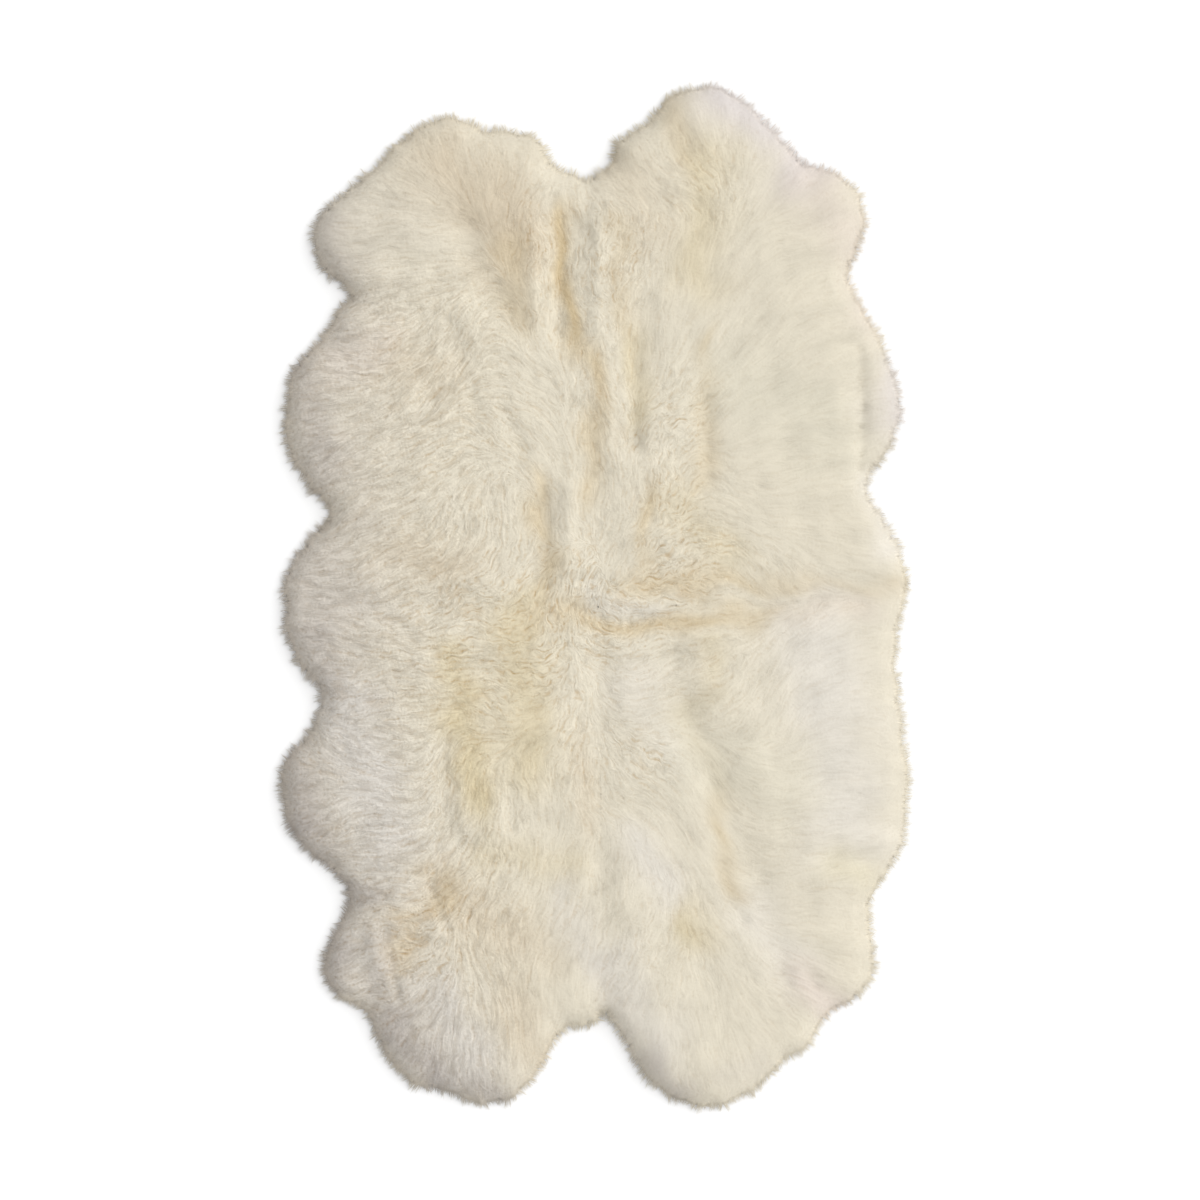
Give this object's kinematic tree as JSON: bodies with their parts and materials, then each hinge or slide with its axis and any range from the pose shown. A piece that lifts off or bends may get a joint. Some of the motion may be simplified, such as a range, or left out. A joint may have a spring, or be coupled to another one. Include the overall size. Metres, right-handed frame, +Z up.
{
  "type": "sheepskin rug",
  "caption": "Long-pile sheepskin rug of pelts sewn edge to edge, lying flat, with a wavy cream coat and a lobed outline of necks, legs and flanks.",
  "frame": {"origin": "middle of the rug's footprint, on the surface that it lies on", "axes": "+X across the rug, +Y along it towards the necks of the upper pelts, +Z up out of the wool"},
  "size_m": [1.1162, 1.8122, 0.0614],
  "materials": {
    "wool": "long combed cream fleece, soft and matt",
    "hide": "tanned suede, matt"
  },
  "bodies": {
    "root": {"hide_upper_left": "hide", "hide_upper_right": "hide", "hide_lower_left": "hide", "hide_lower_right": "hide", "wool_upper_left": "wool", "wool_upper_right": "wool", "wool_lower_left": "wool", "wool_lower_right": "wool"}
  },
  "joints": []
}
